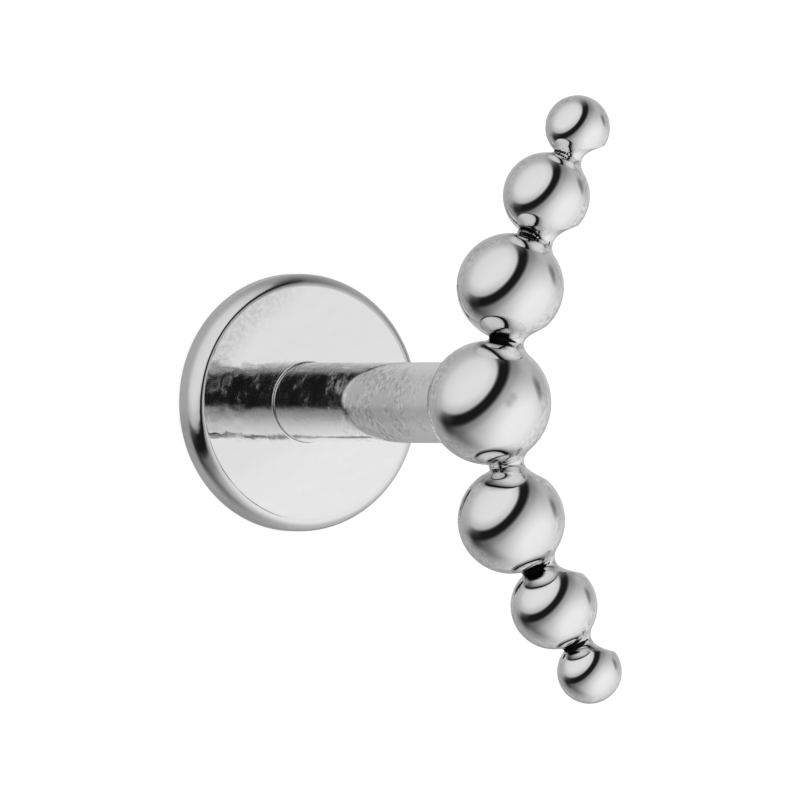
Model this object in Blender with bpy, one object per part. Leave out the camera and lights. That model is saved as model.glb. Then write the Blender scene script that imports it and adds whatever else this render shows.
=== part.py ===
"""Labret stud: a flat back disc, a straight post and a curved row of seven graduated beads.

Units are metres. The origin is the centre of the disc's back face, which the stud stands on.
+Z runs along the post, +Y runs along the bead row, and +X is the hollow side of the row's curve.
"""
import math
from collections import namedtuple

import bmesh
import bpy
from mathutils import Matrix, Vector

MM = 0.001

# Driving dimensions of the disc and the post
DISC_DIAMETER = 4.0 * MM
DISC_THICKNESS = 0.55 * MM
DISC_FRONT_ROUND = 0.22 * MM
DISC_BACK_ROUND = 0.08 * MM
POST_DIAMETER = 1.24 * MM
POST_SHOWING = 5.25 * MM
SOCKET_DEPTH = 0.35 * MM
BORE_DIAMETER = 0.80 * MM
BORE_DEPTH = 2.60 * MM

# Driving dimensions of the bead row and its hidden pin
CENTRE_BEAD_DIAMETER = 1.90 * MM
PIN_IN_POST = 2.45 * MM
PIN_IN_BEAD = 0.50 * MM
NECK_TOWARD_DISC = 0.08 * MM
NECK_HALF_LENGTH = 0.24 * MM

# Running gap between pieces, and the small edge breaks
GAP = 0.02 * MM
EDGE_BREAK = 0.04 * MM

# Beads outwards from the centre one. The row is soldered by hand, so its two halves differ a little.
# heading: direction from the bead before, in degrees from the Y axis toward +X
# space: clear space to the bead before, bridged by the neck
# neck: diameter of the soldered neck, shift: how far it sits toward the hollow side
Bead = namedtuple("Bead", "diameter space heading neck shift")
UPPER_ROW = (
    Bead(diameter=1.64 * MM, space=0.038 * MM, heading=13.1, neck=0.56 * MM, shift=0.09 * MM),
    Bead(diameter=1.33 * MM, space=0.040 * MM, heading=25.6, neck=0.50 * MM, shift=0.14 * MM),
    Bead(diameter=0.99 * MM, space=0.017 * MM, heading=28.8, neck=0.44 * MM, shift=0.05 * MM),
)
LOWER_ROW = (
    Bead(diameter=1.64 * MM, space=0.062 * MM, heading=10.7, neck=0.56 * MM, shift=0.09 * MM),
    Bead(diameter=1.33 * MM, space=0.021 * MM, heading=27.9, neck=0.50 * MM, shift=0.14 * MM),
    Bead(diameter=0.99 * MM, space=0.019 * MM, heading=30.0, neck=0.44 * MM, shift=0.05 * MM),
)

# Neck profile, as shares of its half length and of its radius
NECK_PROFILE = ((-1.0, 1.18), (-0.5, 1.05), (0.0, 1.00), (0.5, 1.05), (1.0, 1.18))

# Facets
DISC_SIDES = 48
POST_SIDES = 32
BEAD_SIDES = 16
BEAD_RINGS = 12
NECK_SIDES = 12
ROUND_STEPS = 4

# Heights worked out from the sizes above
DISC_FACE_Z = DISC_THICKNESS
SOCKET_FLOOR_Z = DISC_FACE_Z - SOCKET_DEPTH
POST_TOP_Z = DISC_FACE_Z + POST_SHOWING
SEAT_Z = POST_TOP_Z + GAP
CENTRE_BEAD_RISE = math.sqrt((CENTRE_BEAD_DIAMETER / 2) ** 2 - (POST_DIAMETER / 2) ** 2)
ROW_Z = SEAT_Z + CENTRE_BEAD_RISE


def clear_scene():
    """Remove every object that is already in the scene."""
    for old in list(bpy.data.objects):
        bpy.data.objects.remove(old, do_unlink=True)


def steel(name, grey, roughness):
    """Polished surgical steel: a Principled material in one grey."""
    material = bpy.data.materials.new(name)
    material.use_nodes = True
    shader = material.node_tree.nodes["Principled BSDF"]
    shader.inputs["Base Color"].default_value = (grey, grey, grey * 1.01, 1.0)
    shader.inputs["Metallic"].default_value = 1.0
    shader.inputs["Roughness"].default_value = roughness
    return material


def add_object(name, mesh_data, material):
    """Turn finished mesh data into a smooth-shaded object in the scene."""
    mesh = bpy.data.meshes.new(name)
    bmesh.ops.recalc_face_normals(mesh_data, faces=mesh_data.faces)
    mesh_data.to_mesh(mesh)
    mesh_data.free()
    mesh.materials.append(material)
    mesh.shade_smooth()
    mesh.set_sharp_from_angle(angle=math.radians(35))
    piece = bpy.data.objects.new(name, mesh)
    bpy.context.collection.objects.link(piece)
    return piece


def quarter_round(centre_r, centre_z, radius, start, end):
    """Profile points of a round edge, between two angles in degrees from +X toward +Z."""
    points = []
    for step in range(ROUND_STEPS + 1):
        angle = math.radians(start + (end - start) * step / ROUND_STEPS)
        points.append((centre_r + radius * math.cos(angle), centre_z + radius * math.sin(angle)))
    return points


def turned(name, profile, sides, material):
    """Spin a closed half profile of (radius, height) points round the Z axis."""
    turning = bmesh.new()
    points = [turning.verts.new((radius, 0.0, height)) for radius, height in profile]
    edges = [turning.edges.new((low, high)) for low, high in zip(points, points[1:])]
    bmesh.ops.spin(
        turning,
        geom=points + edges,
        cent=(0.0, 0.0, 0.0),
        axis=(0.0, 0.0, 1.0),
        angle=math.tau,
        steps=sides,
        use_merge=True,
    )
    bmesh.ops.remove_doubles(turning, verts=turning.verts, dist=0.0001 * MM)
    return add_object(name, turning, material)


def hide_tool(tool):
    """A cutter or a joined shape isn't a piece of its own."""
    tool.hide_render = True
    tool.display_type = "WIRE"


def combine(piece, tool, operation):
    """Join or cut a piece with another closed shape."""
    hide_tool(tool)
    boolean = piece.modifiers.new(operation.title() + " " + tool.name, "BOOLEAN")
    boolean.operation = operation
    boolean.solver = "EXACT"
    boolean.object = tool


def make_back_disc(material):
    """Flat back plate with a rounded rim and a socket for the post."""
    radius = DISC_DIAMETER / 2
    socket_radius = POST_DIAMETER / 2 + GAP
    back_rim = quarter_round(radius - DISC_BACK_ROUND, DISC_BACK_ROUND, DISC_BACK_ROUND, -90, 0)
    front_centre_z = DISC_FACE_Z - DISC_FRONT_ROUND
    front_rim = quarter_round(radius - DISC_FRONT_ROUND, front_centre_z, DISC_FRONT_ROUND, 0, 90)
    socket = [
        (socket_radius + EDGE_BREAK, DISC_FACE_Z),
        (socket_radius, DISC_FACE_Z - EDGE_BREAK),
        (socket_radius, SOCKET_FLOOR_Z),
        (0.0, SOCKET_FLOOR_Z),
    ]
    profile = [(0.0, 0.0)] + back_rim + front_rim + socket
    return turned("back_disc", profile, DISC_SIDES, material)


def make_post(material):
    """Straight bar with a bore for the pin in its outer end."""
    radius = POST_DIAMETER / 2
    foot_z = SOCKET_FLOOR_Z + GAP
    bore_radius = BORE_DIAMETER / 2
    profile = [
        (0.0, foot_z),
        (radius - EDGE_BREAK, foot_z),
        (radius, foot_z + EDGE_BREAK),
        (radius, POST_TOP_Z - EDGE_BREAK),
        (radius - EDGE_BREAK, POST_TOP_Z),
        (bore_radius + EDGE_BREAK, POST_TOP_Z),
        (bore_radius, POST_TOP_Z - EDGE_BREAK),
        (bore_radius, POST_TOP_Z - BORE_DEPTH),
        (0.0, POST_TOP_Z - BORE_DEPTH),
    ]
    return turned("post", profile, POST_SIDES, material)


def make_top_pin(material):
    """Hidden plain pin between the post's bore and the centre bead."""
    radius = BORE_DIAMETER / 2 - GAP
    low_z = POST_TOP_Z - PIN_IN_POST
    high_z = SEAT_Z + PIN_IN_BEAD
    profile = [
        (0.0, low_z),
        (radius - EDGE_BREAK, low_z),
        (radius, low_z + EDGE_BREAK),
        (radius, high_z - EDGE_BREAK),
        (radius - EDGE_BREAK, high_z),
        (0.0, high_z),
    ]
    return turned("top_pin", profile, POST_SIDES, material)


def half_row_centres(half_row, side):
    """Centre of each bead on one half, outwards from the centre bead; side is 1 for +Y, -1 for -Y."""
    centre = Vector((0.0, 0.0, ROW_Z))
    radius_before = CENTRE_BEAD_DIAMETER / 2
    centres = []
    for bead in half_row:
        reach = radius_before + bead.space + bead.diameter / 2
        heading = math.radians(bead.heading)
        centre = centre + reach * Vector((math.sin(heading), side * math.cos(heading), 0.0))
        centres.append(centre)
        radius_before = bead.diameter / 2
    return centres


def make_bead(name, centre, diameter, material):
    """One round bead with its poles along the post's direction."""
    ball = bmesh.new()
    bmesh.ops.create_uvsphere(
        ball,
        u_segments=BEAD_SIDES,
        v_segments=BEAD_RINGS,
        radius=diameter / 2,
        matrix=Matrix.Translation(centre),
    )
    return add_object(name, ball, material)


def make_neck(name, inner, outer, bead, material):
    """Soldered neck between two beads, set off toward the hollow side and the disc."""
    along = (outer - inner).normalized()
    sideways = Vector((0.0, 0.0, 1.0)).cross(along)
    if sideways.x < 0.0:
        sideways = -sideways
    middle = outer - along * (bead.diameter / 2 + bead.space / 2)
    middle = middle + sideways * bead.shift + Vector((0.0, 0.0, -NECK_TOWARD_DISC))
    profile = [(0.0, -NECK_HALF_LENGTH)]
    for place, share in NECK_PROFILE:
        profile.append((share * bead.neck / 2, place * NECK_HALF_LENGTH))
    profile.append((0.0, NECK_HALF_LENGTH))
    neck = turned(name, profile, NECK_SIDES, material)
    turn = along.to_track_quat("Z", "X").to_matrix().to_4x4()
    neck.data.transform(Matrix.Translation(middle) @ turn)
    return neck


def make_round_cutter(name, radius, top_z, material):
    """Round bar round the post's axis, from below the centre bead up to a height."""
    bottom_z = ROW_Z - CENTRE_BEAD_DIAMETER
    profile = [(0.0, bottom_z), (radius, bottom_z), (radius, top_z), (0.0, top_z)]
    return turned(name, profile, POST_SIDES, material)


def make_bead_row(material):
    """Seven beads and six necks fused in one solid, with a flat seat and a pin hole."""
    row_centre = Vector((0.0, 0.0, ROW_Z))
    row = make_bead("bead_row", row_centre, CENTRE_BEAD_DIAMETER, material)
    for side_name, half_row, side in (("upper", UPPER_ROW, 1.0), ("lower", LOWER_ROW, -1.0)):
        before = row_centre
        for number, (bead, centre) in enumerate(zip(half_row, half_row_centres(half_row, side)), start=1):
            label = f"{side_name}_{number}"
            combine(row, make_bead("bead_" + label, centre, bead.diameter, material), "UNION")
            combine(row, make_neck("neck_" + label, before, centre, bead, material), "UNION")
            before = centre
    seat_cutter = make_round_cutter("seat_cutter", CENTRE_BEAD_DIAMETER / 2, SEAT_Z, material)
    combine(row, seat_cutter, "DIFFERENCE")
    pin_hole_top = SEAT_Z + PIN_IN_BEAD + GAP
    pin_cutter = make_round_cutter("pin_cutter", BORE_DIAMETER / 2, pin_hole_top, material)
    combine(row, pin_cutter, "DIFFERENCE")
    return row


def main():
    clear_scene()
    mirror_steel = steel("mirror_steel", 0.78, 0.06)
    turned_steel = steel("turned_steel", 0.76, 0.12)
    make_back_disc(mirror_steel)
    make_post(turned_steel)
    make_top_pin(turned_steel)
    make_bead_row(mirror_steel)


main()
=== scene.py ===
# %% [markdown]
# A labret stud in polished steel
#
# This lesson dresses a small piece of body jewellery: a flat disc that lies inside the lip, a straight
# post, and a curved row of seven graduated beads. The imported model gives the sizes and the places. The
# cells below give every surface its fine shape and its finish.

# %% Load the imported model
import math
from collections import namedtuple

import bmesh
import bpy
import numpy as np
from mathutils import Matrix, Vector


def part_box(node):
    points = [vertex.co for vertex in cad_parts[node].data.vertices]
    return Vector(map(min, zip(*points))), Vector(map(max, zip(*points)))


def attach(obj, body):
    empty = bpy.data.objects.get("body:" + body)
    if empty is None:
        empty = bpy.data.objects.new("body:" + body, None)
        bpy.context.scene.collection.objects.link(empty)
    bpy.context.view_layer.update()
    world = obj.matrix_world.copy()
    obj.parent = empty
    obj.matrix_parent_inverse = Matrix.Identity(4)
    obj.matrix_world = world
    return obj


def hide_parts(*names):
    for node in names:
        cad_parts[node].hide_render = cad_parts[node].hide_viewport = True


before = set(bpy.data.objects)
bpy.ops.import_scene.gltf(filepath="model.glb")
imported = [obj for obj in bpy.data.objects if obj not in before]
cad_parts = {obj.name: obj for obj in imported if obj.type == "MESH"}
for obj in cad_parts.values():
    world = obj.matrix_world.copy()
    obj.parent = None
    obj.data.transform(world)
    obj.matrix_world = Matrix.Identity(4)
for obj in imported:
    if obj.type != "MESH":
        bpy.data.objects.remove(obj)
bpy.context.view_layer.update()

print("nodes:", sorted(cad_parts))

# %% [markdown]
# Everything in the scene is in metres, and this stud is smaller than a pea. A named unit keeps the
# numbers readable: 4.0 * MM is four millimetres. Sizes that the solids already hold are read from
# their boxes, so the fine pieces sit exactly where the plain ones do.

# %% Sizes read from the model
MM = 0.001

disc_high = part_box("back_disc")[1]
post_low, post_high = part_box("post")
row_low, row_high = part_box("bead_row")
DISC_RADIUS = disc_high.x
DISC_FACE_Z = disc_high.z
POST_RADIUS = post_high.x
POST_FOOT_Z = post_low.z
POST_TOP_Z = post_high.z
CENTRE_RADIUS = -row_low.x
ROW_Z = row_high.z - CENTRE_RADIUS
SEAT_GAP = 0.02 * MM
print("disc radius", round(DISC_RADIUS / MM, 3), "face at", round(DISC_FACE_Z / MM, 3))
print("post radius", round(POST_RADIUS / MM, 3), "top at", round(POST_TOP_Z / MM, 3))
print("centre bead radius", round(CENTRE_RADIUS / MM, 3), "row at", round(ROW_Z / MM, 3))

# %% [markdown]
# The camera comes first, because the reflections are planned from it. The photograph looks at the
# disc from a little to the side, so the round disc shows as an ellipse. The width of that ellipse
# gives the angle between the line of sight and the post. A long lens far away keeps the near and far
# beads in proportion, as a macro lens does.

# %% Camera
VIEW_ANGLE = math.radians(27.6)
ROW_TURN = math.radians(-1.42)
CAMERA_DISTANCE = 300 * MM
PICTURE_PIXELS = 800
PIXELS_PER_MM = 65.0
PICTURE_WIDTH = PICTURE_PIXELS / PIXELS_PER_MM * MM
SENSOR_WIDTH_MM = 4.1
CLIP_NEAR = 10 * MM
CLIP_FAR = 5000 * MM
AIM = Vector((0.0, 0.041 * MM, 3.61 * MM))


def placed(name, data):
    """Put an object with this data in the scene."""
    piece = bpy.data.objects.new(name, data)
    bpy.context.collection.objects.link(piece)
    return piece


turn = Matrix.Rotation(ROW_TURN, 3, "Z") @ Matrix.Rotation(-VIEW_ANGLE, 3, "Y")
SIGHT_RIGHT, SIGHT_UP, SIGHT_BACK = turn.col[0].copy(), turn.col[1].copy(), turn.col[2].copy()
camera_data = bpy.data.cameras.new("camera")
camera_data.sensor_width = SENSOR_WIDTH_MM
camera_data.lens = SENSOR_WIDTH_MM * CAMERA_DISTANCE / PICTURE_WIDTH
camera_data.clip_start = CLIP_NEAR
camera_data.clip_end = CLIP_FAR
camera = placed("camera", camera_data)
camera.matrix_world = Matrix.Translation(AIM + SIGHT_BACK * CAMERA_DISTANCE) @ turn.to_4x4()
bpy.context.scene.camera = camera
print("lens", round(camera_data.lens, 1), "sight back", [round(v, 3) for v in SIGHT_BACK])

# %% [markdown]
# A turned part is a half profile spun round the post's axis. Blender's Screw modifier can spin a
# profile, but a short loop gives full control over the rings, and that matters on a mirror: a flat
# face needs a ring close to its edge, or the smooth shading of the round edge bleeds across it.

# %% Helper: turn a profile on the lathe
LATHE_SIDES = 256
SUPPORT = 0.004 * MM
SHARP_ANGLE = math.radians(40)


def arc(centre_r, centre_z, radius, start, end, steps):
    """Profile points of an arc, angles in degrees from outward (+r) toward up (+z)."""
    angles = np.radians(np.linspace(start, end, steps + 1))
    return [(centre_r + radius * math.cos(a), centre_z + radius * math.sin(a)) for a in angles]


def lathe(name, profile, sides=LATHE_SIDES):
    """Spin a profile of (radius, height), given from the bottom axis point to the top one."""
    mesh = bmesh.new()
    rings = []
    for radius, height in profile:
        if radius == 0.0:
            rings.append([mesh.verts.new((0.0, 0.0, height))])
            continue
        angles = [math.tau * side / sides for side in range(sides)]
        rings.append([mesh.verts.new((radius * math.cos(a), radius * math.sin(a), height)) for a in angles])
    for low, high in zip(rings, rings[1:]):
        for side in range(sides):
            after = (side + 1) % sides
            corners = [low[side % len(low)], low[after % len(low)]]
            corners += [high[after % len(high)], high[side % len(high)]]
            mesh.faces.new(list(dict.fromkeys(corners)))
    bmesh.ops.recalc_face_normals(mesh, faces=mesh.faces)
    data = bpy.data.meshes.new(name)
    mesh.to_mesh(data)
    mesh.free()
    data.shade_smooth()
    data.set_sharp_from_angle(angle=SHARP_ANGLE)
    print(name, "has", len(data.polygons), "faces")
    return placed(name, data)


# %% [markdown]
# The disc is a turned blank that has been tumbled until its rim is round. The rim bends in two
# curves, a tight one beside the flat face and a wide one outside it, and the tight one squeezes the
# dark slot of the studio into the thin line that runs round the face. The back edge is only broken.
# Where the post goes in, welding has left a thin raised ring, a bright line round the post's foot.

# %% Back disc
FRONT_ROUND = 0.195 * MM
FLAT_EDGE = DISC_RADIUS - FRONT_ROUND
RIM_TIGHT = 0.13 * MM
RIM_CHANGE = 45
BACK_ROUND = 0.06 * MM
RING_OUTER = 0.643 * MM
RING_INNER = 0.624 * MM
RING_RISE = 0.0055 * MM
RING_STEPS = 12
SOCKET_DEPTH = 0.33 * MM


def rim_points():
    """Profile of the front rim: the wide curve up to the angle of change, then the tight one."""
    across, up = math.cos(math.radians(RIM_CHANGE)), math.sin(math.radians(RIM_CHANGE))
    wide = (FRONT_ROUND - RIM_TIGHT * across) / (1 - across)
    wide_z = DISC_FACE_Z - RIM_TIGHT + (RIM_TIGHT - wide) * up
    points = [(DISC_RADIUS, wide_z - SUPPORT)]
    points += arc(DISC_RADIUS - wide, wide_z, wide, 0, RIM_CHANGE, 18)
    return points + arc(FLAT_EDGE, DISC_FACE_Z - RIM_TIGHT, RIM_TIGHT, RIM_CHANGE, 90, 14)[1:]


def weld_ring_points():
    """Profile of the low round ring that the weld has left at the edge of the socket."""
    points = []
    for step in range(RING_STEPS + 1):
        share = step / RING_STEPS
        radius = RING_OUTER - (RING_OUTER - RING_INNER) * share
        points.append((radius, DISC_FACE_Z + RING_RISE * math.sin(math.pi * share) ** 2))
    return points


def disc_profile():
    """Half profile of the disc from the middle of its back to the floor of its socket."""
    back_edge = DISC_RADIUS - BACK_ROUND
    points = [(0.0, 0.0), (back_edge - SUPPORT, 0.0)]
    points += arc(back_edge, BACK_ROUND, BACK_ROUND, -90, 0, 10)
    points += [(DISC_RADIUS, BACK_ROUND + SUPPORT)] + rim_points()
    points += [(FLAT_EDGE - SUPPORT, DISC_FACE_Z), (RING_OUTER + 2 * SUPPORT, DISC_FACE_Z)]
    points += weld_ring_points()
    points += [(RING_INNER, DISC_FACE_Z - SUPPORT), (RING_INNER, DISC_FACE_Z - SOCKET_DEPTH)]
    return points + [(0.0, DISC_FACE_Z - SOCKET_DEPTH)]


back_disc = lathe("back_disc_turned", disc_profile())
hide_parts("back_disc")
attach(back_disc, "root")

# %% [markdown]
# The post is a plain round bar. Its outer end is bored for the pin of the bead row, with small
# chamfers that guide the pin in. The bore can't be seen once the stud is closed.

# %% Post
BORE_RADIUS = 0.40 * MM
BORE_DEPTH = 2.60 * MM
CHAMFER = 0.04 * MM


def post_profile():
    """Half profile of the post from the middle of its foot to the floor of its bore."""
    return [
        (0.0, POST_FOOT_Z),
        (POST_RADIUS - CHAMFER, POST_FOOT_Z),
        (POST_RADIUS, POST_FOOT_Z + CHAMFER),
        (POST_RADIUS, POST_TOP_Z - CHAMFER),
        (POST_RADIUS - CHAMFER, POST_TOP_Z),
        (BORE_RADIUS + CHAMFER, POST_TOP_Z),
        (BORE_RADIUS, POST_TOP_Z - CHAMFER),
        (BORE_RADIUS, POST_TOP_Z - BORE_DEPTH),
        (0.0, POST_TOP_Z - BORE_DEPTH),
    ]


post = lathe("post_bar", post_profile())
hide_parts("post")
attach(post, "root")

# %% [markdown]
# The bead row starts as a stringing line: one point for each bead centre, joined by edges. A table for
# each half says how far the next bead lies from the one before, and in which direction. The row is
# soldered by hand, so the two halves differ a little, and some joints are dirtier than others.

# %% Stringing line of the beads
BEAD_DIAMETERS = (1.64, 1.33, 0.99)
# the angles that the solder climbs on the bead before and on this bead, on the hollow side
SOLDER_SPREADS = ((35, 56), (41, 73), (40, 86))
# clear space, heading from +Y toward +X; "edge" is the solder's angle on the outer side, "dip" draws its
# waist in; "dark" says how far round the joint the tarnish reaches, and how wide it is toward the bead
# before and toward this one
UPPER_JOINTS = (
    {"space": 0.038, "heading": 13.1, "edge": 17, "dip": 0.050, "dark": (0.62, 0.030, 0.042)},
    {"space": 0.040, "heading": 25.6, "edge": 12, "dip": 0.015, "dark": (0.50, 0.006, 0.055)},
    {"space": 0.017, "heading": 28.8, "edge": 26, "dip": 0.020, "dark": (0.30, 0.006, 0.020)},
)
LOWER_JOINTS = (
    {"space": 0.062, "heading": 10.7, "edge": 17, "dip": 0.050, "dark": (0.20, 0.008, 0.008)},
    {"space": 0.021, "heading": 27.9, "edge": 12, "dip": 0.060, "dark": (0.66, 0.045, 0.045)},
    {"space": 0.019, "heading": 30.0, "edge": 28, "dip": 0.020, "dark": (0.64, 0.035, 0.036)},
)
Bead = namedtuple("Bead", "centre radius form")


def half_row(joints, side):
    """Beads of one half, outwards from the centre bead, with centres and radii in mm."""
    centre = np.array([0.0, 0.0, ROW_Z / MM])
    radius_before = CENTRE_RADIUS / MM
    beads = []
    for diameter, spread, joint in zip(BEAD_DIAMETERS, SOLDER_SPREADS, joints):
        reach = radius_before + joint["space"] + diameter / 2
        heading = math.radians(joint["heading"])
        centre = centre + reach * np.array([math.sin(heading), side * math.cos(heading), 0.0])
        radius_before = diameter / 2
        beads.append(Bead(centre, radius_before, {**joint, "spread": spread}))
    return beads


centre_bead = Bead(np.array([0.0, 0.0, ROW_Z / MM]), CENTRE_RADIUS / MM, None)
upper, lower = half_row(UPPER_JOINTS, 1.0), half_row(LOWER_JOINTS, -1.0)
row_beads = lower[::-1] + [centre_bead] + upper
links = []
for half in (lower, upper):
    links += zip([centre_bead] + half, half)
print("bead centres in mm:", [[round(float(v), 2) for v in bead.centre] for bead in row_beads])

# %% [markdown]
# Node trees are built from here on, for shapes first and for materials later. A few helpers keep
# them readable. The first adds any node. The others name the handful of steps that come up again and
# again: a sum, a product, a scaled vector, a noise, and a mask, which maps one range to another.

# %% Helpers: nodes in words


def add(tree, kind, inputs=None, **settings):
    """Add a node, set its settings and link or set its inputs by name or number."""
    node = tree.nodes.new(kind)
    for key, value in settings.items():
        setattr(node, key, value)
    for key, value in (inputs or {}).items():
        if isinstance(value, bpy.types.NodeSocket):
            tree.links.new(value, node.inputs[key])
        else:
            node.inputs[key].default_value = value
    return node


def math_of(tree, operation, *values):
    """Math node with its values given in order."""
    return add(tree, "ShaderNodeMath", dict(enumerate(values)), operation=operation).outputs[0]


def times(tree, first, *others):
    """Product of two or more values."""
    for other in others:
        first = math_of(tree, "MULTIPLY", first, other)
    return first


def with_part(tree, base, value, share):
    """A base with a share of another value added to it."""
    return math_of(tree, "MULTIPLY_ADD", value, share, base)


def vector_of(tree, operation, *values):
    """Vector Math node. A length or a dot product gives one value, and the others a vector."""
    node = add(tree, "ShaderNodeVectorMath", dict(enumerate(values)), operation=operation)
    return node.outputs["Value" if operation in ("LENGTH", "DOT_PRODUCT") else "Vector"]


def scaled(tree, vector, scale):
    """A vector or a colour times one value."""
    return add(tree, "ShaderNodeVectorMath", {0: vector, "Scale": scale}, operation="SCALE").outputs[0]


def noise(tree, vector, scale, detail=2.0, roughness=0.5):
    """Soft random pattern between 0 and 1."""
    inputs = {"Vector": vector, "Scale": scale, "Detail": detail, "Roughness": roughness}
    return add(tree, "ShaderNodeTexNoise", inputs).outputs["Fac"]


def mask(tree, value, start, end, low=0.0, high=1.0, curve="SMOOTHSTEP"):
    """Map a value's range from start to end onto low to high, and hold it beyond both ends."""
    inputs = {"Value": value, "From Min": start, "From Max": end, "To Min": low, "To Max": high}
    return add(tree, "ShaderNodeMapRange", inputs, interpolation_type=curve).outputs[0]


def blend(tree, factor, first, second):
    """The first value where the factor is 0, the second where it is 1."""
    return add(tree, "ShaderNodeMix", {0: factor, 2: first, 3: second}, data_type="FLOAT").outputs[0]


print("node helpers ready")

# %% [markdown]
# Geometry Nodes put a ball on every point and a short neck on every edge. The balls all come from
# one sphere of radius 1, scaled by the radius that each point of the line carries. The tree works in
# millimetres, because the voxel remesh that follows can't take voxels under a tenth of a millimetre
# in metres. It ends in Realize Instances and Set Material, so the result is plain mesh.

# %% Geometry Nodes: balls on points, necks on edges
ROW_SETTINGS = {"Ball segments": 64, "Ball rings": 32, "Neck radius": 0.22, "Neck half length": 0.2}
NECK_SIDES = 32


def new_tree(name, settings):
    """Geometry node tree with a geometry input and output, and an input for each setting."""
    tree = bpy.data.node_groups.new(name, "GeometryNodeTree")
    tree.interface.new_socket("Geometry", in_out="INPUT", socket_type="NodeSocketGeometry")
    for label, value in settings.items():
        kind = "NodeSocketInt" if isinstance(value, int) else "NodeSocketFloat"
        tree.interface.new_socket(label, in_out="INPUT", socket_type=kind).default_value = value
    tree.interface.new_socket("Material", in_out="INPUT", socket_type="NodeSocketMaterial")
    tree.interface.new_socket("Geometry", in_out="OUTPUT", socket_type="NodeSocketGeometry")
    return tree


def add_balls(tree, given, radius):
    """One ball on every point, scaled to the point's radius."""
    segments = {"Segments": given["Ball segments"], "Rings": given["Ball rings"], "Radius": 1.0}
    ball = add(tree, "GeometryNodeMeshUVSphere", segments).outputs["Mesh"]
    points = add(tree, "GeometryNodeMeshToPoints", {"Mesh": given["Geometry"]}).outputs[0]
    placing = {"Points": points, "Instance": ball, "Scale": radius}
    return add(tree, "GeometryNodeInstanceOnPoints", placing).outputs[0]


def add_necks(tree, given, radius):
    """One neck along every edge, where the two balls come closest to each other."""
    ends = add(tree, "GeometryNodeInputMeshEdgeVertices").outputs

    def radius_at(index):
        inputs = {"Index": index, "Value": radius}
        return add(tree, "GeometryNodeFieldAtIndex", inputs, data_type="FLOAT", domain="POINT").outputs[0]

    span = vector_of(tree, "SUBTRACT", ends["Position 2"], ends["Position 1"])
    length = vector_of(tree, "LENGTH", span)
    first, second = radius_at(ends["Vertex Index 1"]), radius_at(ends["Vertex Index 2"])
    difference = math_of(tree, "SUBTRACT", first, second)
    share = math_of(tree, "DIVIDE", math_of(tree, "ADD", length, difference), times(tree, length, 2.0))
    meeting = vector_of(tree, "ADD", ends["Position 1"], scaled(tree, span, share))
    aim = add(tree, "FunctionNodeAlignRotationToVector", {"Vector": span}, axis="Z").outputs[0]
    kept = add(tree, "GeometryNodeCaptureAttribute", {"Geometry": given["Geometry"]}, domain="EDGE")
    kept.capture_items.new("ROTATION", "Aim")
    tree.links.new(aim, kept.inputs["Aim"])
    place = {"Mesh": kept.outputs["Geometry"], "Position": meeting}
    middles = add(tree, "GeometryNodeMeshToPoints", place, mode="EDGES").outputs[0]
    cylinder = {"Vertices": NECK_SIDES, "Radius": 1.0, "Depth": 2.0}
    rod = add(tree, "GeometryNodeMeshCylinder", cylinder).outputs["Mesh"]
    sides = {"X": given["Neck radius"], "Y": given["Neck radius"], "Z": given["Neck half length"]}
    size = add(tree, "ShaderNodeCombineXYZ", sides).outputs[0]
    placing = {"Points": middles, "Instance": rod, "Rotation": kept.outputs["Aim"], "Scale": size}
    return add(tree, "GeometryNodeInstanceOnPoints", placing).outputs[0]


def bead_row_tree():
    """Balls on the points of a line and soldered necks on its edges."""
    tree = new_tree("Bead row", ROW_SETTINGS)
    given = add(tree, "NodeGroupInput").outputs
    stored = {"Name": "bead_radius"}
    radius = add(tree, "GeometryNodeInputNamedAttribute", stored, data_type="FLOAT").outputs[0]
    both = add(tree, "GeometryNodeJoinGeometry")
    tree.links.new(add_balls(tree, given, radius), both.inputs[0])
    tree.links.new(add_necks(tree, given, radius), both.inputs[0])
    real = add(tree, "GeometryNodeRealizeInstances", {"Geometry": both.outputs[0]}).outputs[0]
    dressed = add(tree, "GeometryNodeSetMaterial", {"Geometry": real, "Material": given["Material"]})
    add(tree, "NodeGroupOutput", {"Geometry": dressed.outputs[0]})
    return tree


row_tree = bead_row_tree()
print("bead row tree:", len(row_tree.nodes), "nodes")

# %% [markdown]
# The tree runs on the stringing line, a mesh of seven points and six edges. Its inputs are set by
# the sockets' identifiers before Blender first works the object out. The result is then taken as
# plain mesh data, and the line itself is thrown away.

# %% Run the tree on the stringing line


def stringing_line():
    """Mesh of seven points and six edges, with each bead's radius on its point."""
    data = bpy.data.meshes.new("stringing_line")
    edges = [(number, number + 1) for number in range(len(row_beads) - 1)]
    data.from_pydata([tuple(bead.centre) for bead in row_beads], edges, [])
    radii = data.attributes.new("bead_radius", "FLOAT", "POINT")
    radii.data.foreach_set("value", [bead.radius for bead in row_beads])
    return placed("stringing_line", data)


def baked(piece):
    """Plain mesh of an object with its modifiers applied. The object itself is removed."""
    depsgraph = bpy.context.evaluated_depsgraph_get()
    data = bpy.data.meshes.new_from_object(piece.evaluated_get(depsgraph), depsgraph=depsgraph)
    bpy.data.objects.remove(piece)
    return data


def run_tree(base, tree, values):
    """Run a node tree on an object and return the result as plain mesh data."""
    modifier = base.modifiers.new(tree.name, "NODES")
    modifier.node_group = tree
    for item in tree.interface.items_tree:
        if item.in_out == "INPUT" and item.name in values:
            modifier[item.identifier] = values[item.name]
    return baked(base)


bead_steel = bpy.data.materials.new("bead_steel")
balls_and_necks = run_tree(stringing_line(), row_tree, {**ROW_SETTINGS, "Material": bead_steel})
print("balls and necks:", len(balls_and_necks.vertices), "points")

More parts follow.
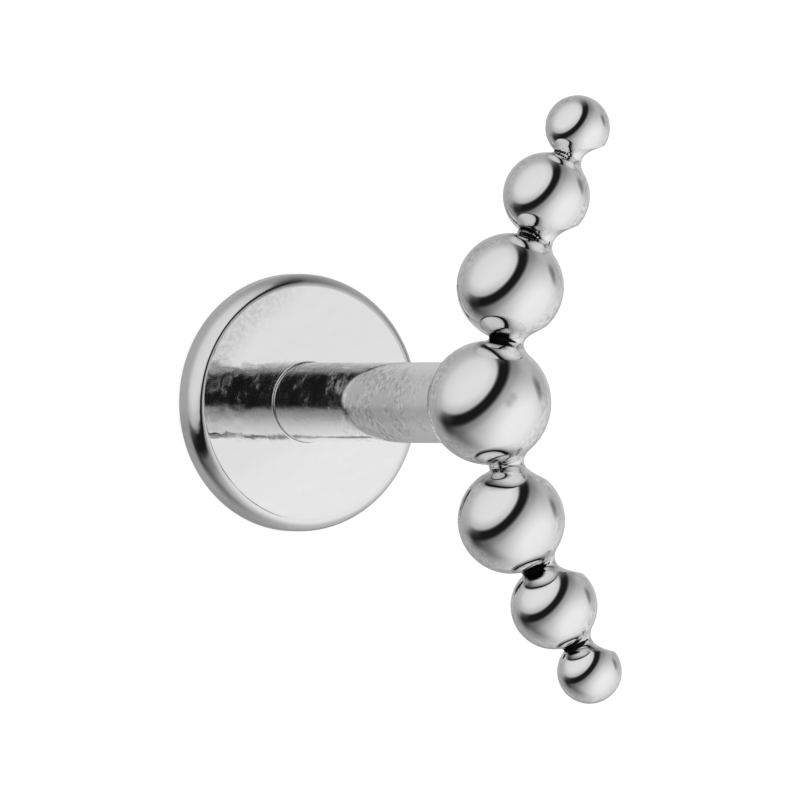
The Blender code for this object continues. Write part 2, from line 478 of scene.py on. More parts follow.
# %% [markdown]
# On the real row, solder has run into each joint from the hollow side of the curve. There it climbs
# far up the smaller bead, which it meets in a low lip, and on the outer side the two balls meet in a
# sharp groove. The functions below write that down. Along the line between two beads, a cubic curve
# leaves the larger ball without a break in slope and reaches the smaller one. The angles where it
# starts and ends grow from the outer side round to the hollow side.

# %% The solder in a joint
SOLDER_FOCUS = 2.0
SOLDER_LIP_SLOPE = 1.0


def joint_frame(points, before, bead):
    """Place along a joint, height from its axis, and how much solder lies on that side."""
    along = bead.centre - before.centre
    length = np.linalg.norm(along)
    along = along / length
    hollow_side = np.cross(along, [0.0, 0.0, 1.0])
    hollow_side = hollow_side * np.sign(hollow_side[0])
    from_start = points - before.centre
    place = from_start @ along
    radial = from_start - place[:, None] * along
    height = np.linalg.norm(radial, axis=1)
    leaning = (radial @ hollow_side) / np.maximum(height, 1e-9)
    solder = np.maximum((1.0 + leaning) / 2, 0.0) ** SOLDER_FOCUS
    return length, place, height, solder


def joint_width(before, bead, length, solder):
    """Angles where the solder leaves both balls, and where it starts and ends along the joint."""
    edge, (spread_before, spread_bead) = bead.form["edge"], bead.form["spread"]
    low = np.radians(edge + (spread_before - edge) * solder)
    high = np.radians(edge + (spread_bead - edge) * solder)
    return low, high, before.radius * np.cos(low), length - bead.radius * np.cos(high)


def link_distance(points, before, bead):
    """Where the solder between two beads lies, and the distance from it in mm."""
    length, place, height, solder = joint_frame(points, before, bead)
    low, high, start, end = joint_width(before, bead, length, solder)
    width = end - start
    share = np.clip((place - start) / width, 0.0, 1.0)
    rest = 1.0 - share
    level = rest**2 * (1 + 2 * share) * before.radius * np.sin(low)
    level = level + share**2 * (1 + 2 * rest) * bead.radius * np.sin(high)
    lip = solder * (SOLDER_LIP_SLOPE - 1 / math.tan(math.radians(bead.form["spread"][1])))
    slope_start, slope_end = -1 / np.tan(low), 1 / np.tan(high) + lip
    bend = width * share * rest * (rest * slope_start - share * slope_end)
    dip = 16 * bead.form["dip"] * solder * (share * rest) ** 2
    skin = level + bend - dip
    steepness = np.abs(rest * slope_start + share * slope_end)
    distance = (height - skin) / np.sqrt(1.0 + steepness**2)
    return (place > start) & (place < end) & (height < before.radius), distance


first_length = np.linalg.norm(upper[0].centre - centre_bead.centre)
first_start, first_end = joint_width(centre_bead, upper[0], first_length, 1.0)[2:]
print("solder in the first joint is up to", round(float(first_end - first_start), 3), "mm wide")

# %% [markdown]
# With the solder written down, the whole row is one signed distance: negative inside the metal, zero
# on its skin, positive outside. The direction in which it grows fastest is the outward normal, and a
# small step to both sides of a point measures it.

# %% The whole row as a distance


def row_distance(points):
    """Signed distance from the soldered row, in mm, negative inside."""
    distance = np.full(len(points), 1e3)
    for bead in row_beads:
        distance = np.minimum(distance, np.linalg.norm(points - bead.centre, axis=1) - bead.radius)
    for before, bead in links:
        inside, solder_distance = link_distance(points, before, bead)
        distance = np.where(inside, solder_distance, distance)
    return distance


def outward(points, step=1e-4):
    """Unit direction away from the row's surface at each point."""
    slopes = []
    for axis in np.eye(3):
        slopes.append(row_distance(points + step * axis) - row_distance(points - step * axis))
    slopes = np.stack(slopes, axis=1)
    return slopes / np.maximum(np.linalg.norm(slopes, axis=1, keepdims=True), 1e-12)


probe = np.array([[0.0, 0.0, ROW_Z / MM + CENTRE_RADIUS / MM], [0.0, CENTRE_RADIUS / MM + 0.02, ROW_Z / MM]])
print("distance at the centre bead's top and in its joint:", np.round(row_distance(probe), 4))

# %% [markdown]
# A voxel remesh melts the loose balls and necks into one skin. Its points lie only near the true
# surface, so each is moved onto it along the slope of the distance. A second round of the same evens
# the mesh out. On a mirror this step decides everything, because a reflection shows an error in the
# surface twice over.

# %% Fuse the row
VOXEL = 0.027
LONGEST_MOVE = 0.05


def remeshed(data, voxel):
    """Voxel remesh of mesh data, returned as new mesh data."""
    holder = placed("remesh_holder", data)
    modifier = holder.modifiers.new("Remesh", "REMESH")
    modifier.mode = "VOXEL"
    modifier.voxel_size = voxel
    return baked(holder)


def read_points(data):
    """Vertex positions of mesh data as an array."""
    flat = np.empty(len(data.vertices) * 3)
    data.vertices.foreach_get("co", flat)
    return flat.reshape(-1, 3)


def settle(data, rounds=6):
    """Move every point of the mesh onto the soldered row's surface."""
    points = read_points(data)
    for _ in range(rounds):
        points -= np.clip(row_distance(points), -LONGEST_MOVE, LONGEST_MOVE)[:, None] * outward(points)
    data.vertices.foreach_set("co", points.ravel())
    return points


skin = remeshed(balls_and_necks, VOXEL)
settle(skin)
skin = remeshed(skin, VOXEL)
settled = settle(skin)
print("skin:", len(skin.vertices), "points, largest error", float(np.abs(row_distance(settled)).max()), "mm")

# %% [markdown]
# The centre bead is seated flat on the post and drilled for the pin. Both cuts are made with one
# turned cutter and an exact Boolean, still in millimetres.

# %% Seat and drill the centre bead
SEAT_Z = POST_TOP_Z + SEAT_GAP
PIN_HOLE_DEPTH = 0.52 * MM
CUTTER_SIDES = 96


def cut_seat(data):
    """Cut the flat seat and the pin hole under the centre bead, in millimetres."""
    low = (ROW_Z - 2 * CENTRE_RADIUS) / MM
    seat = SEAT_Z / MM
    hole = (SEAT_Z + PIN_HOLE_DEPTH) / MM
    bore = BORE_RADIUS / MM
    clear = CENTRE_RADIUS / MM
    profile = [(0.0, low), (clear, low), (clear, seat), (bore, seat), (bore, hole), (0.0, hole)]
    cutter = lathe("seat_cutter", profile, sides=CUTTER_SIDES)
    row = placed("row_holder", data)
    boolean = row.modifiers.new("Seat", "BOOLEAN")
    boolean.operation = "DIFFERENCE"
    boolean.object = cutter
    made = baked(row)
    bpy.data.objects.remove(cutter)
    return made


row_mesh = cut_seat(skin)
print("seated row:", len(row_mesh.vertices), "points")

# %% [markdown]
# Steel blackens where flux and polish stay behind: in the grooves of the joints and in two faint stains on
# the centre bead's front. The grooves also carry painted shade, and the lower part of the centre bead, over
# the post, is darkened with painted shade. Each point of the skin stores how dark it is and how much solder
# lies there, as attributes that the material reads later. Attributes suit this better than a noise, because
# the marks belong to places that the joints already define.

# %% Tarnish, painted shade and solder on the skin
GROOVE_FADE = (0.4, 1.9)
GROOVE_RISE = (-0.9, 0.3)
GROOVE_HEIGHT = 0.75
GROOVE_HALF_LENGTH = 0.2
SOLDER_EDGE = (0.05, 0.3)
# The UNDER_BEAD values set the painted shade on the lower part of the centre bead, over the post.
UNDER_BEAD_FADE = (0.20, 0.50)
STAIN_PLACES = ((0.31, 0.00, 0.937), (0.385, 0.09, 0.937))
STAIN_RADII = (0.03, 0.13)
STAIN_STRENGTH = 0.20
UNDER_BEAD_SHADE_STRENGTH = 0.36
UNDER_BEAD_HALF_WIDTH = 0.9


def ramp(values, start, end):
    """Smooth step from 0 at start to 1 at end."""
    share = np.clip((values - start) / (end - start), 0.0, 1.0)
    return share * share * (3 - 2 * share)


def groove_tarnish_and_shade(points, before, bead):
    """How black the groove of a joint is, as tarnish and painted shade: widest on its outer side, and gone
    where solder lies.
    """
    _, place, height, solder = joint_frame(points, before, bead)
    reach, toward_before, toward_bead = bead.form["dark"]
    from_middle = place - before.radius - bead.form["space"] / 2
    side = np.where(from_middle < 0, toward_before, toward_bead)
    rise = (points[:, 2] - ROW_Z / MM) / np.maximum(height, 1e-9)
    narrowing = (1.0 - ramp(solder, 0.1 * reach, reach)) * ramp(rise, *GROOVE_RISE)
    narrowing = np.maximum(narrowing, 1e-3)
    near = (height < GROOVE_HEIGHT * bead.radius) & (np.abs(from_middle) < GROOVE_HALF_LENGTH)
    return near * (1.0 - ramp(np.abs(from_middle) / np.maximum(side * narrowing, 1e-6), *GROOVE_FADE))


def centre_bead_shade_and_stains(points):
    """Painted shade on the lower part of the centre bead over the post, and how dark the two stains on its
    front are.
    """
    on_post_side = np.hypot(points[:, 0], points[:, 1]) < CENTRE_RADIUS / MM
    below = (ROW_Z / MM - points[:, 2]) / (CENTRE_RADIUS / MM)
    narrow = np.abs(points[:, 1]) < UNDER_BEAD_HALF_WIDTH
    tarnish_and_shade = UNDER_BEAD_SHADE_STRENGTH * on_post_side * ramp(below, *UNDER_BEAD_FADE) * narrow
    for across, up, back in STAIN_PLACES:
        toward = np.array(across * SIGHT_RIGHT + up * SIGHT_UP + back * SIGHT_BACK)
        from_stain = np.linalg.norm(points - centre_bead.centre - centre_bead.radius * toward, axis=1)
        tarnish_and_shade = np.maximum(tarnish_and_shade, STAIN_STRENGTH * (1.0 - ramp(from_stain, *STAIN_RADII)))
    return tarnish_and_shade


def mark_joints(data):
    """Store how dark each point of the skin is, from tarnish and painted shade, and how soldered it is."""
    points = read_points(data)
    tarnish_and_shade = centre_bead_shade_and_stains(points)
    solder_mark = np.zeros(len(points))
    for before, bead in links:
        tarnish_and_shade = np.maximum(tarnish_and_shade, groove_tarnish_and_shade(points, before, bead))
        solder = joint_frame(points, before, bead)[3]
        inside, _ = link_distance(points, before, bead)
        solder_mark = np.maximum(solder_mark, inside * ramp(solder, *SOLDER_EDGE))
    for name, values in (("tarnish_and_shade", tarnish_and_shade), ("solder", solder_mark)):
        data.attributes.new(name, "FLOAT", "POINT").data.foreach_set("value", values)
    print("tarnished points:", int((tarnish_and_shade > 0.5).sum()), "soldered:", int((solder_mark > 0.5).sum()))


mark_joints(row_mesh)

# %% [markdown]
# The last step of the shape is the shading. The true slope of the distance becomes the shading
# normal of every point of the skin, so the mirror shows no facets. The flat seat and the drilled
# hole keep the normals of their own faces.

# %% Polish the normals
NORMAL_STEP = 0.008
SEAT_MARGIN = 0.01


def polish_normals(data):
    """Give the skin its true normals and leave the cut faces flat."""
    points = read_points(data)
    on_skin = np.abs(row_distance(points)) < 0.001
    normals = outward(points, step=NORMAL_STEP)
    loop_vertex = np.empty(len(data.loops), dtype=np.int32)
    data.loops.foreach_get("vertex_index", loop_vertex)
    loop_normals = normals[loop_vertex]
    for face in data.polygons:
        corners = list(face.vertices)
        centre = points[corners].mean(axis=0)
        near_seat = math.hypot(centre[0], centre[1]) < POST_RADIUS / MM + SEAT_MARGIN
        if near_seat and (abs(centre[2] - SEAT_Z / MM) < 1e-4 or not on_skin[corners].all()):
            for loop in face.loop_indices:
                loop_normals[loop] = tuple(face.normal)
    data.shade_smooth()
    data.normals_split_custom_set([tuple(normal) for normal in loop_normals])


polish_normals(row_mesh)
row_mesh.transform(Matrix.Scale(MM, 4))
bead_row = placed("bead_row_soldered", row_mesh)
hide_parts("bead_row")
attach(bead_row, "root")
row_mesh.calc_loop_triangles()
print("bead row:", len(row_mesh.loop_triangles), "triangles")

# %% [markdown]
# Polished steel is a Principled shader with Metallic at 1. Its look comes from three small things: a
# grey that is a little uneven, a roughness that rises in faint spots, and marks left by polishing.
# One node group makes all three from the object's own coordinates, and every steel uses it with its
# own values.

# %% Node group: polishing marks
GROUP_INPUTS = {
    "Grey": 0.78,
    "Mottle": 0.02,
    "Speck Scale": 30000.0,
    "Roughness": 0.04,
    "Spots": 0.04,
    "Patch Scale": 2000.0,
    "Wave": 0.1,
    "Scratch": 0.5,
}
GROUP_OUTPUTS = {"Colour": "NodeSocketColor", "Roughness": "NodeSocketFloat", "Height": "NodeSocketFloat"}
MARK_ROUGHNESS = 0.55
SPOT_RANGE = (-0.05, 0.12)
STREAK_RANGE = (-0.06, 0.14)


def polishing_group():
    """Group with a mottled grey, a spotted roughness and a height of fine scratches."""
    group = bpy.data.node_groups.new("Polishing marks", "ShaderNodeTree")
    for label, value in GROUP_INPUTS.items():
        socket = group.interface.new_socket(label, in_out="INPUT", socket_type="NodeSocketFloat")
        socket.default_value = value
    group.interface.new_socket("Marks Vector", in_out="INPUT", socket_type="NodeSocketVector")
    for label, kind in GROUP_OUTPUTS.items():
        group.interface.new_socket(label, in_out="OUTPUT", socket_type=kind)
    given = add(group, "NodeGroupInput").outputs
    place = add(group, "ShaderNodeTexCoord").outputs["Object"]

    def centred_noise(vector, scale, detail):
        return math_of(group, "SUBTRACT", noise(group, vector, scale, detail, MARK_ROUGHNESS), 0.5)

    specks = centred_noise(place, given["Speck Scale"], 3.0)
    patches = centred_noise(place, given["Patch Scale"], 2.0)
    scratches = centred_noise(given["Marks Vector"], 1.0, 4.0)
    grey = with_part(group, given["Grey"], specks, given["Mottle"])
    colour = add(group, "ShaderNodeCombineColor", {"Red": grey, "Green": grey, "Blue": grey}).outputs[0]
    spots = mask(group, patches, *SPOT_RANGE, curve="LINEAR")
    haze = times(group, spots, mask(group, scratches, *STREAK_RANGE, curve="LINEAR"))
    rough = with_part(group, given["Roughness"], haze, given["Spots"])
    waves = times(group, patches, given["Wave"])
    height = with_part(group, waves, times(group, scratches, spots), given["Scratch"])
    add(group, "NodeGroupOutput", {"Colour": colour, "Roughness": rough, "Height": height})
    return group


POLISHING = polishing_group()
print("polishing group:", len(POLISHING.nodes), "nodes with inputs", list(GROUP_INPUTS))

# %% [markdown]
# The disc has seen the most work. Turning has left fine rings near the post, the rim is rougher where it was
# tumbled, and one side of the face is worn to a blotchy haze. The rim's colour also carries painted shade, a
# little all round and more on its tumbled side and its lower edge, and one side of the face carries a
# painted lighter reflection. Each mark is a mask made from the distance to the axis and from the side it
# leans to. A mask then lends a share of itself to the shade, the roughness or the height.

# %% Marks on the disc
RINGS_FADE = (0.66 * MM, 1.05 * MM)
RINGS_FINE = 30000.0
RINGS_WANDER = 1200.0
RINGS_HEIGHT = 1.5
RIM_START = (FLAT_EDGE - 0.015 * MM, FLAT_EDGE + 0.02 * MM)
# Painted shade on the rim: the radii where its lower edge is darkened, and the colour left on its tumbled
# side.
SHADED_LOWER_RIM = (1.85 * MM, 1.94 * MM)
WORN_RIM_PAINTED_SHADE = 0.80
PATCH_BAND = (1.15 * MM, 1.70 * MM)
PATCH_STRENGTH = 0.55
BLOTCH_RANGE = (0.34, 0.64, 0.30, 1.0)
# direction on the face, and the distances in mm along it where a mark starts and is full
DISC_SIDES = {
    "worn": (0.64, 0.77, -0.2, 1.5),
    "patch": (-0.72, 0.69, 1.05, 1.75),
    "lighter": (0.5, -0.87, -0.2, 1.1),
    "under": (0.15, -0.99, 0.9, 1.7),
}
# Shares of the colour: patch is worn metal, lighter is painted light on one side of the face, and rim and
# under are painted shade on the rim.
DISC_WEAR_AND_PAINTED_SHADES = {"patch": -0.46, "lighter": 0.08, "rim": -0.07, "under": -0.25}
DISC_ROUGHNESS = {"rings": 0.12, "worn": 0.16, "patch": 0.25}


def shaded(tree, shade, where, share):
    """A shade made lighter where the mask is, or darker with a negative share."""
    return times(tree, shade, with_part(tree, 1.0, where, share))


def turning_rings(tree, flat, radius):
    """Rings that the lathe has left round the post, fading outwards."""
    across = add(tree, "ShaderNodeCombineXYZ", {"Z": times(tree, radius, RINGS_FINE)}).outputs[0]
    rings = noise(tree, vector_of(tree, "ADD", across, scaled(tree, flat, RINGS_WANDER)), 1.0, 3.0)
    return times(tree, rings, mask(tree, radius, *RINGS_FADE, 1.0, 0.0))


def disc_marks(tree, place, look):
    """Rings left by turning near the post, a rougher rim, a worn patch, painted shade on the rim and painted
    light on one side of the face.
    """
    flat = vector_of(tree, "MULTIPLY", place, (1.0, 1.0, 0.0))
    radius = vector_of(tree, "LENGTH", flat)

    def toward(mark):
        across, up, start, end = DISC_SIDES[mark]
        leaning = vector_of(tree, "DOT_PRODUCT", flat, (across, up, 0.0))
        return mask(tree, leaning, start * MM, end * MM)

    rim = mask(tree, radius, *RIM_START)
    face = math_of(tree, "SUBTRACT", 1.0, rim)
    edge_band = times(tree, mask(tree, radius, *PATCH_BAND), PATCH_STRENGTH)
    blotches = mask(tree, noise(tree, place, 15000.0, 5.0, 0.7), *BLOTCH_RANGE)
    marks = {
        "rings": turning_rings(tree, flat, radius),
        "rim": rim,
        "worn": times(tree, rim, toward("worn")),
        "patch": times(tree, toward("patch"), face, edge_band, blotches),
        "lighter": times(tree, face, toward("lighter")),
        "under": times(tree, toward("under"), mask(tree, radius, *SHADED_LOWER_RIM)),
    }
    # Painted shade darkens the rim, most on its tumbled side and its lower edge, and painted light lifts one
    # side of the face.
    shade = mask(tree, marks["worn"], 0.0, 1.0, 1.0, WORN_RIM_PAINTED_SHADE)
    for mark, share in DISC_WEAR_AND_PAINTED_SHADES.items():
        shade = shaded(tree, shade, marks[mark], share)
    look["colour"] = scaled(tree, look["colour"], shade)
    for mark, share in DISC_ROUGHNESS.items():
        look["rough"] = with_part(tree, look["rough"], marks[mark], share)
    look["height"] = with_part(tree, look["height"], marks["rings"], RINGS_HEIGHT)


print("disc marks ready, rim from", round(FLAT_EDGE / MM, 3), "mm")

# %% [markdown]
# Handling leaves its traces on the post: fine specks on the outer half and a cloudy haze nearer the disc.
# The flanks carry a painted highlight, and the colour grows lighter toward the beads. Each zone comes in
# between two heights above the floor, and a noise breaks it up, so no zone ends in a line.

# %% Marks on the post
# heights in mm between which each zone comes in
POST_ZONES = {
    "specks": (2.3, 2.9),
    "fewer specks": (4.3, 5.2),
    "flanks": (3.6, 4.4),
    "bead end": (4.5, 5.2),
    "past the haze": (2.5, 3.0),
}
SPECK_STRENGTHS = (0.42, 0.18)
# The flanks, the post's sides toward +Y and -Y, get a painted highlight: their colour is made lighter.
FLANK_SIDE = (0.34 * MM, 0.60 * MM)
FLANK_PAINTED_HIGHLIGHT = 0.34
BEAD_END_LIGHTER = 1.16
UPPER_SIDE = (0.0, 0.3 * MM, 0.0, 0.13)
HAZE_RANGE = (0.48, 0.76)
HAZE_ROUGHNESS = 0.34


def post_marks(tree, place, look):
    """Fine specks where tools have held the post, haze near its foot, a painted highlight on its flanks, and
    a lighter colour toward the beads.
    """
    parts = add(tree, "ShaderNodeSeparateXYZ", {0: place}).outputs

    def zone(name, low=0.0, high=1.0):
        start, end = POST_ZONES[name]
        return mask(tree, parts["Z"], start * MM, end * MM, low, high)

    stretched = vector_of(tree, "MULTIPLY", place, (1.0, 1.0, 1.4))
    fine = mask(tree, noise(tree, stretched, 11000.0, 4.0, 0.7), 0.32, 0.68, -1.0, 1.0)
    broad = noise(tree, place, 2500.0)

    held = times(tree, zone("specks"), mask(tree, broad, 0.35, 0.6), zone("fewer specks", *SPECK_STRENGTHS))
    specks = with_part(tree, 1.0, fine, held)
    # Painted highlight: the colour is lighter along the flanks, and it also grows lighter toward the bead
    # end.
    flank = times(tree, mask(tree, math_of(tree, "ABSOLUTE", parts["Y"]), *FLANK_SIDE), zone("flanks"))
    shade = shaded(tree, times(tree, specks, zone("bead end", 1.0, BEAD_END_LIGHTER)), flank, FLANK_PAINTED_HIGHLIGHT)
    look["colour"] = scaled(tree, look["colour"], shade)

    upper = mask(tree, parts["Y"], *UPPER_SIDE)
    haze = mask(tree, math_of(tree, "ADD", broad, upper), *HAZE_RANGE)
    haze = times(tree, haze, zone("past the haze", 1.0, 0.0), with_part(tree, 0.55, fine, 0.45))
    look["rough"] = with_part(tree, look["rough"], haze, HAZE_ROUGHNESS)


print("post marks ready, from foot", round(POST_FOOT_Z / MM, 3), "to top", round(POST_TOP_Z / MM, 3), "mm")

# %% [markdown]
# The beads' material reads the two attributes. Solder is dented, so it adds to the height. The dark
# attribute is painted black, for the tarnish and the painted shade alike: first the colour darkens, and then
# Metallic falls. A Specular of 0 keeps the black from shining at its edges, and it changes nothing on clean
# metal.

# %% Marks in the joints
# Black for the tarnish and the painted shade in the joints and under the centre bead.
TARNISH_AND_SHADE_COLOUR = (0.003, 0.003, 0.003, 1.0)
TARNISH_AND_SHADE_DARKENS = (0.0, 0.55)
TARNISH_AND_SHADE_DULLS = (0.5, 0.8)
TARNISH_AND_SHADE_ROUGHNESS = 0.35
DENT_SCALE = 7000.0
DENT_HEIGHT = 6.0


def joint_marks(tree, place, look):
    """Dented solder, and black for the tarnish and the painted shade, from the attributes on the skin."""
    solder = add(tree, "ShaderNodeAttribute", attribute_name="solder").outputs["Fac"]
    tarnish_and_shade = add(tree, "ShaderNodeAttribute", attribute_name="tarnish_and_shade").outputs["Fac"]
    dents = times(tree, solder, noise(tree, place, DENT_SCALE))
    blackening = {0: mask(tree, tarnish_and_shade, *TARNISH_AND_SHADE_DARKENS), 6: look["colour"], 7: TARNISH_AND_SHADE_COLOUR}
    look["colour"] = add(tree, "ShaderNodeMix", blackening, data_type="RGBA").outputs[2]
    look["metallic"] = mask(tree, tarnish_and_shade, *TARNISH_AND_SHADE_DULLS, 1.0, 0.0)
    look["rough"] = with_part(tree, look["rough"], tarnish_and_shade, TARNISH_AND_SHADE_ROUGHNESS)
    look["height"] = with_part(tree, look["height"], dents, DENT_HEIGHT)


# %% [markdown]
# Each steel is the polishing group with its own values, and then the marks of its own piece. Toward
# the edge of a bead the photograph shows a fine grain, because there the reflection is squeezed and
# any unevenness of the polish is multiplied. Layer Weight finds that edge, and it has to stay in the
# material itself, since the export can't read it inside a group.

# %% Steel materials from the group
MARK_HEIGHT = 0.001 * MM
EDGE_FACING = (0.38, 0.55)
GRAIN_SCALE = 13000.0
GRAIN_RANGE = (0.35, 0.65)
GRAIN_BREAKS_SCALE = 2600.0
GRAIN_BREAKS = (0.42, 0.58, 0.25, 1.0)


def edge_grained(tree, place, colour, strength):
    """A colour with grain of this strength where the surface turns away from the eye."""
    facing = add(tree, "ShaderNodeLayerWeight", {"Blend": 0.5}).outputs["Facing"]
    edge = mask(tree, facing, *EDGE_FACING, curve="LINEAR")
    edge = times(tree, edge, mask(tree, noise(tree, place, GRAIN_BREAKS_SCALE), *GRAIN_BREAKS))
    grain = noise(tree, place, GRAIN_SCALE, 3.0)
    grain = mask(tree, grain, *GRAIN_RANGE, 1 - strength, 1 + strength, curve="LINEAR")
    return scaled(tree, colour, blend(tree, edge, 1.0, grain))


def steel(material, marks_scale, own_marks=None, edge_grain=0.0, **values):
    """Dress a material as polished steel, with the group's values and the marks of its piece."""
    material.use_nodes = True
    tree = material.node_tree
    shader = tree.nodes["Principled BSDF"]
    shader.inputs["Metallic"].default_value = 1.0
    place = add(tree, "ShaderNodeTexCoord").outputs["Object"]
    stretched = add(tree, "ShaderNodeMapping", {"Vector": place, "Scale": marks_scale}).outputs[0]
    marks = add(tree, "ShaderNodeGroup", node_tree=POLISHING)
    tree.links.new(stretched, marks.inputs["Marks Vector"])
    for label, value in values.items():
        marks.inputs[label].default_value = value
    look = {"colour": marks.outputs["Colour"], "rough": marks.outputs["Roughness"]}
    look["height"] = marks.outputs["Height"]
    if edge_grain:
        look["colour"] = edge_grained(tree, place, look["colour"], edge_grain)
    if own_marks:
        own_marks(tree, place, look)
    if "metallic" in look:
        tree.links.new(look["metallic"], shader.inputs["Metallic"])
        shader.inputs["Specular IOR Level"].default_value = 0.0
    bump = add(tree, "ShaderNodeBump", {"Height": look["height"], "Strength": 1.0, "Distance": MARK_HEIGHT})
    tree.links.new(look["colour"], shader.inputs["Base Color"])
    tree.links.new(look["rough"], shader.inputs["Roughness"])
    tree.links.new(bump.outputs["Normal"], shader.inputs["Normal"])
    return material


def dress(piece, material):
    """Put one material on a piece."""
    piece.data.materials.clear()
    piece.data.materials.append(material)


steel(bead_steel, (9000, 9000, 9000), joint_marks, edge_grain=0.22,
      Grey=0.78, Mottle=0.02, Roughness=0.02, Spots=0.03, Wave=0.3, Scratch=0.05)
disc_steel = steel(bpy.data.materials.new("disc_steel"), (9000, 9000, 9000), disc_marks, edge_grain=0.07,
                   Grey=0.78, Mottle=0.02, Roughness=0.02, Spots=0.02, Wave=7.0, Scratch=0.6)
post_steel = steel(bpy.data.materials.new("post_steel"), (26000, 26000, 18000), post_marks,
                   Grey=0.78, Mottle=0.12, Roughness=0.05, Spots=0.10, Wave=0.5, Scratch=0.6)
pin_steel = steel(bpy.data.materials.new("pin_steel"), (2000, 2000, 50000),
                  Grey=0.62, Mottle=0.05, Roughness=0.2, Spots=0.1, Wave=0.2, Scratch=2.0)
dress(bead_row, bead_steel)
dress(back_disc, disc_steel)
dress(post, post_steel)
dress(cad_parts["top_pin"], pin_steel)
print("materials:", [material.name for material in bpy.data.materials])

# %% [markdown]
# A mirror shows only what stands around it, so the studio is half of the finish. The reflections in
# the beads tell what it was: two large soft panels, one up to the left and one down to the right, a
# dark slot between them where the camera looks in, and a plain grey backdrop with darker corners.
# Directions are given in degrees across and up from the line of sight, and levels as the grey that
# the picture shows.

# %% The studio in numbers
SRGB_POWER = 2.2
STEEL_GREY = 0.78


def sight_direction(across, up):
    """World direction at angles in degrees across and up from the line of sight."""
    angle = math.hypot(across, up)
    radians = math.radians(angle)
    sideways = (SIGHT_RIGHT * across + SIGHT_UP * up) / max(angle, 1e-9)
    return SIGHT_BACK * math.cos(radians) + sideways * math.sin(radians)


UPPER_PANEL = {"toward": sight_direction(-52.0, 47.4), "level": 0.86, "fades": (33.9, 89.5)}
GLOW = {"toward": sight_direction(-19.3, 49.1), "reach": 70.6, "level": 1.0}
LOWER_PANEL = {"toward": sight_direction(65.1, -48.2), "fades": (24, 117.8), "levels": (0.914, 0.448)}
SHADE = {"toward": sight_direction(-88.0, -82.0), "reach": 62, "level": 0.15}
SLOT = {
    "level": 0.12,
    "inner": {"sharp": (54.5, 62.0), "faint": (38, 56), "share": 0.08},
    "outer": {"sharp": (71.5, 80.5), "faint": (76, 97), "share": 0.24},
    "ends": {"toward": sight_direction(51.7, -45.4), "fades": (102.0, 139.5)},
}
BACKDROP = {"level": 0.725, "rise": -0.076, "across": 0.07}
BEHIND = {"wide": (54.9, 164.3), "near": (89, 108), "near_share": 0.27}
DARK_CORNERS = (
    {"toward": sight_direction(-104.8, -106.8), "reach": 36.1, "level": 0.598},
    {"toward": sight_direction(117.2, 51.0), "reach": 34.4, "level": 0.648},
    {"toward": sight_direction(109, 21), "reach": 13, "level": 0.54},
    {"toward": sight_direction(104, 38), "reach": 15, "level": 0.45},
    {"toward": sight_direction(-88, -47), "reach": 20, "level": 0.24},
    {"toward": sight_direction(-15, -163), "reach": 40, "level": 0.58},
)
print("upper panel toward", [round(v, 2) for v in UPPER_PANEL["toward"]])
print("lower panel toward", [round(v, 2) for v in LOWER_PANEL["toward"]])

# %% [markdown]
# The world shader draws the studio as smooth functions of the direction, one over the other: first
# the panels in front, then the backdrop behind, then the corners, and the slot last. Real softboxes
# would need a mesh each and would show their noise in every bead. The camera itself sees plain white.

# %% Studio round the stud


def build_world():
    """World shader with the two panels, the slot and the backdrop."""
    world = bpy.data.worlds.new("studio")
    bpy.context.scene.world = world
    world.use_nodes = True
    tree = world.node_tree
    tree.nodes.clear()
    direction = add(tree, "ShaderNodeTexCoord").outputs["Generated"]

    def along(axis):
        return vector_of(tree, "DOT_PRODUCT", direction, tuple(axis))

    def angle_from(toward):
        return math_of(tree, "DEGREES", math_of(tree, "ARCCOSINE", along(toward)))

    def spot(centre, around):
        """The level of one spot, fading into what lies around it."""
        fading = mask(tree, angle_from(centre["toward"]), 0, centre["reach"])
        return blend(tree, fading, centre["level"], around)

    from_panel = angle_from(UPPER_PANEL["toward"])
    from_sight = angle_from(SIGHT_BACK)
    from_lower = angle_from(LOWER_PANEL["toward"])
    lower_panel = mask(tree, from_lower, *LOWER_PANEL["fades"], *LOWER_PANEL["levels"])
    lower_panel = spot(GLOW, spot(SHADE, lower_panel))
    front = blend(tree, mask(tree, from_panel, *UPPER_PANEL["fades"]), UPPER_PANEL["level"], lower_panel)
    backdrop = with_part(tree, BACKDROP["level"], along(SIGHT_UP), BACKDROP["rise"])
    backdrop = with_part(tree, backdrop, along(SIGHT_RIGHT), BACKDROP["across"])
    behind_wide = times(tree, mask(tree, from_sight, *BEHIND["wide"]), 1 - BEHIND["near_share"])
    behind_near = times(tree, mask(tree, from_sight, *BEHIND["near"]), BEHIND["near_share"])
    studio = blend(tree, math_of(tree, "ADD", behind_wide, behind_near), front, backdrop)
    for corner in DARK_CORNERS:
        studio = spot(corner, studio)

    def slot_side(side, low, high):
        sharp = mask(tree, from_panel, *side["sharp"], low, high)
        return blend(tree, side["share"], sharp, mask(tree, from_panel, *side["faint"], low, high))

    inner, outer = slot_side(SLOT["inner"], 0.0, 1.0), slot_side(SLOT["outer"], 1.0, 0.0)
    closing = mask(tree, angle_from(SLOT["ends"]["toward"]), *SLOT["ends"]["fades"], 1.0, 0.0)
    seen = blend(tree, times(tree, inner, outer, closing), studio, SLOT["level"])
    light = math_of(tree, "DIVIDE", math_of(tree, "POWER", seen, SRGB_POWER), STEEL_GREY)
    to_camera = add(tree, "ShaderNodeLightPath").outputs["Is Camera Ray"]
    strength = blend(tree, to_camera, light, 1.0)
    background = add(tree, "ShaderNodeBackground", {"Color": (1, 1, 1, 1), "Strength": strength})
    add(tree, "ShaderNodeOutputWorld", {"Surface": background.outputs[0]})
    return world


studio_world = build_world()
bpy.context.scene.view_settings.view_transform = "Standard"
print("studio:", len(studio_world.node_tree.nodes), "nodes,", len(DARK_CORNERS), "dark corners")

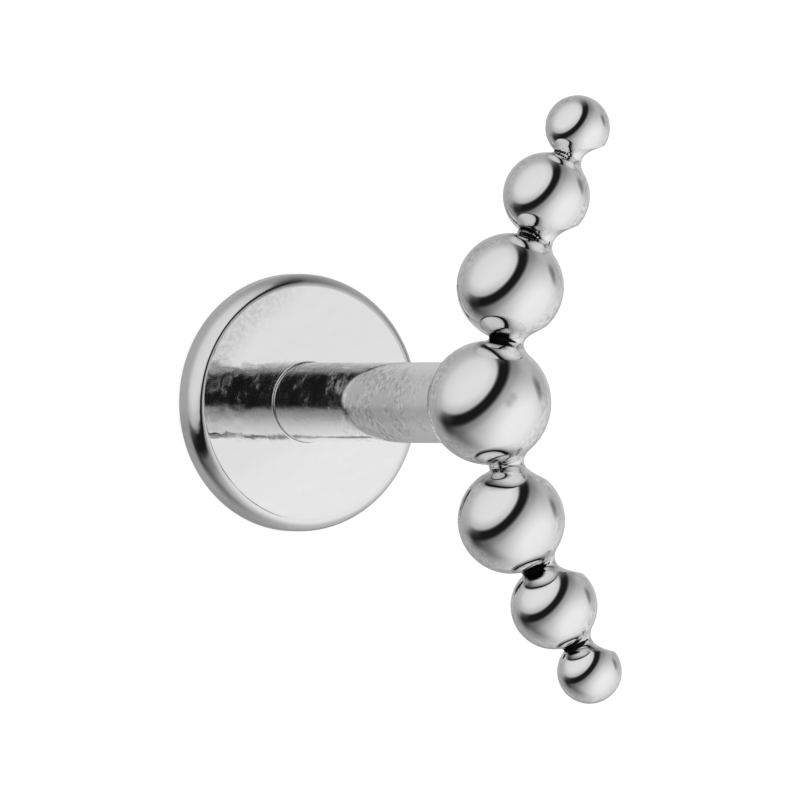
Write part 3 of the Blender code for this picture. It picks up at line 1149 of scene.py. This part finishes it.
# %% [markdown]
# The stud stands on its disc on a plain pale floor. One large lamp overhead lights the floor softly.
# Steel would mirror the lamp as a hard bright square, so the lamp is hidden from reflections, and so
# is the floor: the studio above already gives the steel its light from every side.

# %% Floor and lamp
FLOOR_HALF = 400 * MM
FLOOR_DROP = 0.01 * MM
LAMP_HEIGHT = 350 * MM
LAMP_SIZE = 300 * MM
LAMP_WATTS = 1.6
SHADOW_SHARE = 0.15
SHADOW_REACH = (4 * MM, 14 * MM)


def paint_floor():
    """Pale floor that takes a faint shadow near the stud and glows evenly farther out."""
    paint = bpy.data.materials.new("floor_paint")
    paint.use_nodes = True
    tree = paint.node_tree
    tree.nodes.clear()
    place = add(tree, "ShaderNodeTexCoord").outputs["Object"]
    far = mask(tree, vector_of(tree, "LENGTH", place), *SHADOW_REACH, 1 - SHADOW_SHARE, 1.0)
    pale = mask(tree, noise(tree, place, 3000.0), 0.0, 1.0, 0.94, 0.98, curve="LINEAR")
    matt = add(tree, "ShaderNodeBsdfDiffuse", {"Color": pale}).outputs[0]
    glow = add(tree, "ShaderNodeEmission", {"Strength": 1.0}).outputs[0]
    mixed = add(tree, "ShaderNodeMixShader", {0: far, 1: matt, 2: glow}).outputs[0]
    add(tree, "ShaderNodeOutputMaterial", {"Surface": mixed})
    return paint


floor_mesh = bpy.data.meshes.new("floor")
corners = [(x * FLOOR_HALF, y * FLOOR_HALF, -FLOOR_DROP) for x, y in ((-1, -1), (1, -1), (1, 1), (-1, 1))]
floor_mesh.from_pydata(corners, [], [(0, 1, 2, 3)])
floor = placed("floor", floor_mesh)
floor.data.materials.append(paint_floor())
floor.visible_glossy = False

lamp_data = bpy.data.lights.new("overhead_lamp", "AREA")
lamp_data.size = LAMP_SIZE
lamp_data.energy = LAMP_WATTS
lamp = placed("overhead_lamp", lamp_data)
lamp.location = (0.0, 0.0, LAMP_HEIGHT)
lamp.visible_glossy = False
lamp.visible_camera = False
print("floor half width", FLOOR_HALF, "lamp", LAMP_WATTS, "W")
